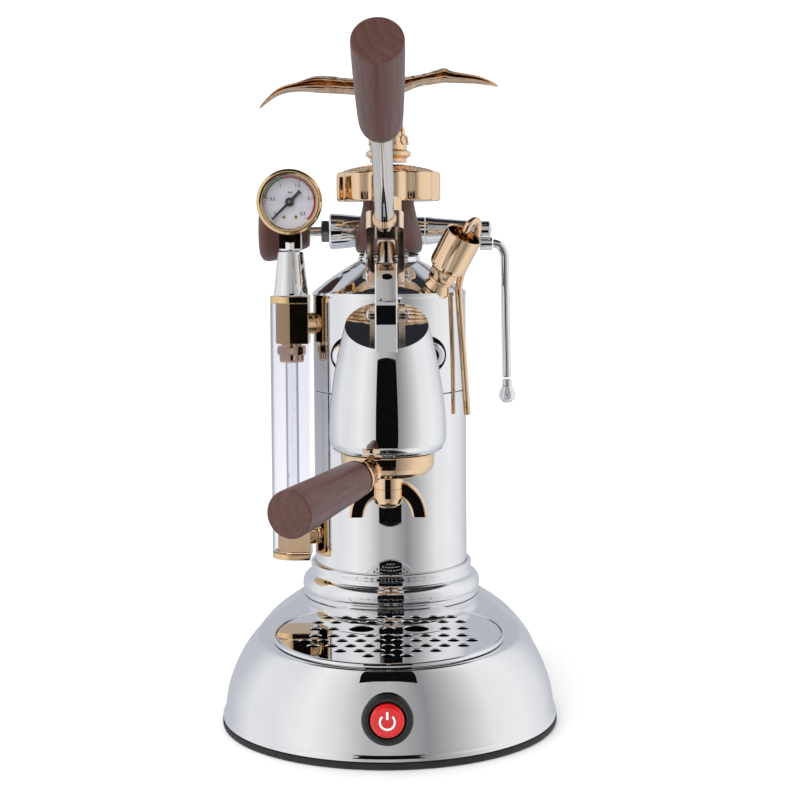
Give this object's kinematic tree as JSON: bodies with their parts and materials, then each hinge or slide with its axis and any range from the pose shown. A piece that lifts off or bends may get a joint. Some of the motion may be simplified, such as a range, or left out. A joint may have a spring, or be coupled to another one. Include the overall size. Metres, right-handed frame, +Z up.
{
  "type": "lever espresso machine",
  "caption": "Lever espresso machine: upright chromed boiler with sight glass, gauge and steam wand, front group with wooden-handled lever and portafilter, drip tray in its oval base.",
  "frame": {"origin": "on the underside of the base plate, on the boiler's axis", "axes": "+Z up along the boiler, -Y towards the user and the lever's handle, +X to the side of the steam wand"},
  "size_m": [0.1996, 0.4254, 0.3982],
  "materials": {
    "chrome": "mirror-polished chrome plating",
    "rose_gold": "polished rose gold plating",
    "wood": "satin oiled hardwood",
    "black_plastic": "satin black",
    "rubber": "matt black rubber",
    "steel": "brushed stainless steel",
    "brass": "plain machined brass",
    "red_lens": "glossy red",
    "dial_white": "white enamel",
    "needle_black": "black paint",
    "clear": "clear and polished"
  },
  "bodies": {
    "machine": {"base_shell": "chrome", "base_rim": "rubber", "base_plate": "steel", "cord_inlet": "black_plastic", "button_bezel": "black_plastic", "boiler_collar": "chrome", "boiler_lower": "chrome", "boiler_upper": "chrome", "heating_element": "steel", "pressurestat": "black_plastic", "dip_tube": "brass", "group_body": "chrome", "group_bolt_left": "chrome", "group_bolt_right": "chrome", "group_gasket": "rubber", "shower_screen": "steel", "sight_block_top": "rose_gold", "sight_block_bottom": "rose_gold", "sight_nut": "brass", "sight_tube": "clear", "sight_shield": "clear", "gauge_cone": "chrome", "gauge_nut": "chrome", "gauge_case": "rose_gold", "gauge_dial": "dial_white", "gauge_glass": "clear", "steam_packing_nut": "steel", "steam_valve_body": "chrome", "steam_outlet": "chrome", "relief_body": "rose_gold", "relief_cup": "rose_gold", "relief_pipe": "rose_gold"},
    "button": {"power_button": "red_lens"},
    "tray": {"drip_tray": "chrome"},
    "grille": {"drip_grille": "chrome"},
    "cap_carrier": {"cap_gasket": "rubber"},
    "cap": {"cap_plug": "brass", "cap_wood": "wood", "cap_knob": "rose_gold", "cap_finial": "rose_gold"},
    "lever": {"lever_fork": "rose_gold", "lever_rod": "chrome", "lever_handle": "wood", "lever_nut": "rose_gold", "fulcrum_pin": "steel", "fulcrum_pin_clip": "steel", "piston_pin": "steel", "piston_pin_clip": "steel"},
    "piston": {"piston_rod": "steel", "piston_head": "brass", "piston_seal": "rubber"},
    "basket": {"filter_basket": "steel"},
    "portafilter": {"portafilter_body": "rose_gold", "portafilter_spout": "rose_gold", "portafilter_ferrule": "rose_gold", "portafilter_handle": "wood"},
    "steam_tap": {"steam_knob": "wood", "steam_stem": "chrome"},
    "wand": {"steam_wand": "chrome"},
    "needle": {"gauge_needle": "needle_black"}
  },
  "joints": [
    {"name": "lever_swing", "type": "hinge", "parent": "machine", "child": "lever", "pos_m": [0, -0.088, 0.265], "axis": [-1, 0, 0], "range_deg": [-48, 15]},
    {"name": "piston_slide", "type": "slide", "parent": "machine", "child": "piston", "axis": [0, 0, 1], "range_m": [-0.0215, 0.007]},
    {"name": "portafilter_drop", "type": "slide", "parent": "machine", "child": "basket", "axis": [0, 0, -1], "range_m": [0, 0.014]},
    {"name": "portafilter_turn", "type": "hinge", "parent": "basket", "child": "portafilter", "pos_m": [0, -0.11, 0.156], "axis": [0, 0, 1], "range_deg": [-25, 45]},
    {"name": "cap_lift", "type": "slide", "parent": "machine", "child": "cap_carrier", "axis": [0, 0, 1], "range_m": [0, 0.05]},
    {"name": "cap_turn", "type": "hinge", "parent": "cap_carrier", "child": "cap", "pos_m": [0, 0, 0.3], "axis": [0, 0, 1], "continuous": true},
    {"name": "steam_knob_turn", "type": "hinge", "parent": "machine", "child": "steam_tap", "pos_m": [-0.05, 0.036, 0.292], "axis": [-1, 0, 0], "range_deg": [0, 360]},
    {"name": "steam_wand_swing", "type": "hinge", "parent": "machine", "child": "wand", "pos_m": [0.0703, 0.036, 0.283], "axis": [-1, 0, 0], "range_deg": [-30, 60]},
    {"name": "gauge_needle_turn", "type": "hinge", "parent": "machine", "child": "needle", "pos_m": [-0.0633, -0.02, 0.3112], "axis": [0, 1, 0], "range_deg": [0, 270], "stiffness_Nm_per_rad": 0.0005, "springref_deg": -11.46},
    {"name": "power_button_press", "type": "slide", "parent": "machine", "child": "button", "axis": [0, 1, 0], "range_m": [0, 0.0025], "stiffness_N_per_m": 600, "springref_m": -0.0005},
    {"name": "drip_tray_lift", "type": "slide", "parent": "machine", "child": "tray", "axis": [0, 0, 1], "range_m": [0, 0.028]},
    {"name": "drip_grille_lift", "type": "slide", "parent": "tray", "child": "grille", "axis": [0, 0, 1], "range_m": [0, 0.02]}
  ],
  "couplings": [
    {"joint": "piston_slide", "follows": "lever_swing", "m_per_rad": 0.025}
  ]
}
